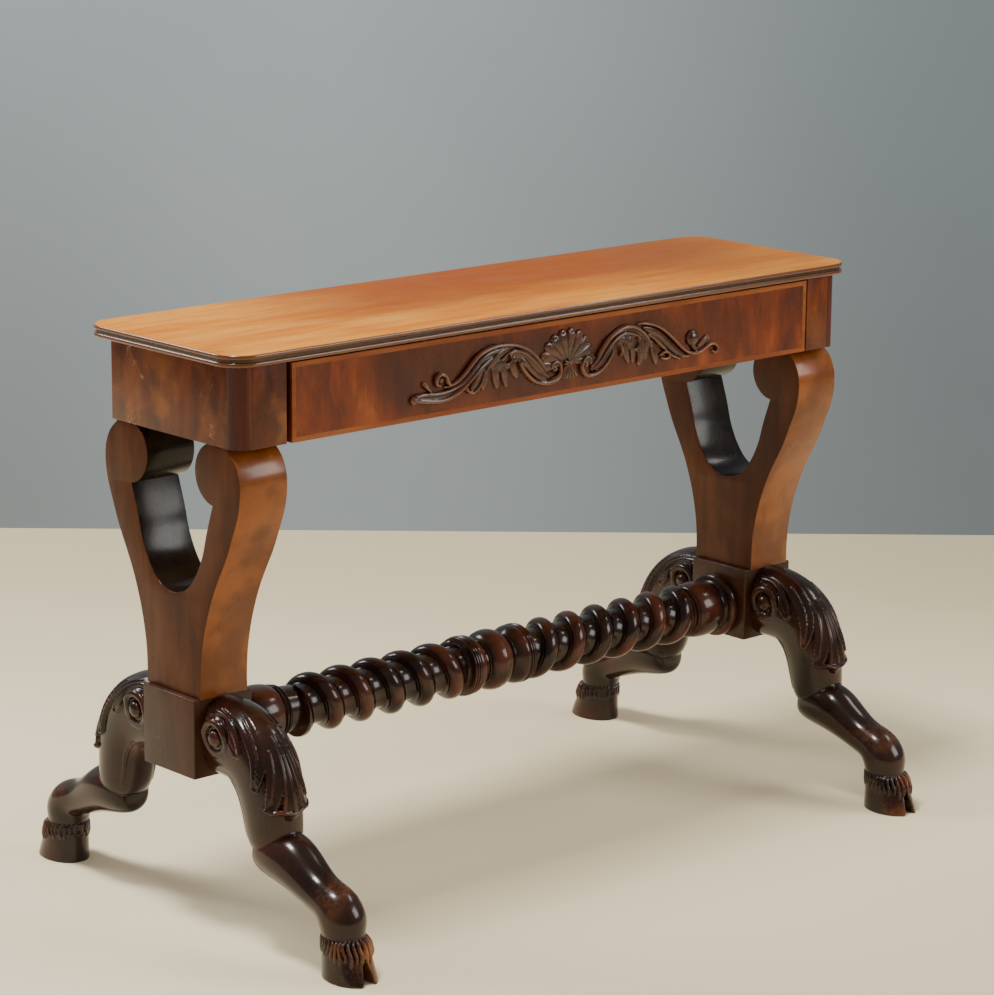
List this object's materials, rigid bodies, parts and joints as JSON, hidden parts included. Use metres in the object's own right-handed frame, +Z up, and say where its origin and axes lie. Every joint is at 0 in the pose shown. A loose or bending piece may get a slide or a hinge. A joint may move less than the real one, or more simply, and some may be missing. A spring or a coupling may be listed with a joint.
{
  "type": "pier table",
  "caption": "Long shallow side table with a carved frieze drawer, open lyre supports, goat legs and a spiral-turned stretcher.",
  "frame": {"origin": "on the floor, midway between the lyres and midway between the front and back toes", "axes": "+X to the right along the top, -Y to the front (the drawer side), +Z up"},
  "size_m": [1.194, 0.7316, 0.82],
  "materials": {
    "walnut_top": "satin polish",
    "walnut_case": "satin polish",
    "walnut_corner": "gloss polish",
    "walnut_veneer": "gloss polish",
    "walnut_edging": "satin polish",
    "walnut_carving": "satin polish",
    "walnut_lyre": "satin polish",
    "walnut_block": "satin polish",
    "dark_walnut": "gloss polish, worn",
    "secondary_wood": "bare",
    "drawer_wood": "bare"
  },
  "bodies": {
    "table": {"top_board": "walnut_top", "left_end_panel": "walnut_case", "right_end_panel": "walnut_case", "left_corner_post": "walnut_corner", "right_corner_post": "walnut_corner", "left_front_stile": "walnut_case", "right_front_stile": "walnut_case", "back_board": "secondary_wood", "lower_front_rail": "walnut_case", "upper_front_rail": "walnut_case", "left_bearer": "secondary_wood", "right_bearer": "secondary_wood", "left_drawer_guide": "secondary_wood", "right_drawer_guide": "secondary_wood", "left_kicker": "secondary_wood", "right_kicker": "secondary_wood", "glue_blocks": "secondary_wood", "left_lyre": "walnut_lyre", "right_lyre": "walnut_lyre", "left_block": "walnut_block", "right_block": "walnut_block", "stretcher": "dark_walnut", "front_left_leg": "dark_walnut", "front_right_leg": "dark_walnut", "back_left_leg": "dark_walnut", "back_right_leg": "dark_walnut"},
    "drawer": {"drawer_front": "walnut_veneer", "drawer_edging": "walnut_edging", "drawer_carving": "walnut_carving", "drawer_left_side": "drawer_wood", "drawer_right_side": "drawer_wood", "drawer_back": "drawer_wood", "drawer_bottom": "drawer_wood"}
  },
  "joints": [
    {"name": "drawer_slide", "type": "slide", "parent": "table", "child": "drawer", "axis": [0, -1, 0], "range_m": [0, 0.19]}
  ]
}
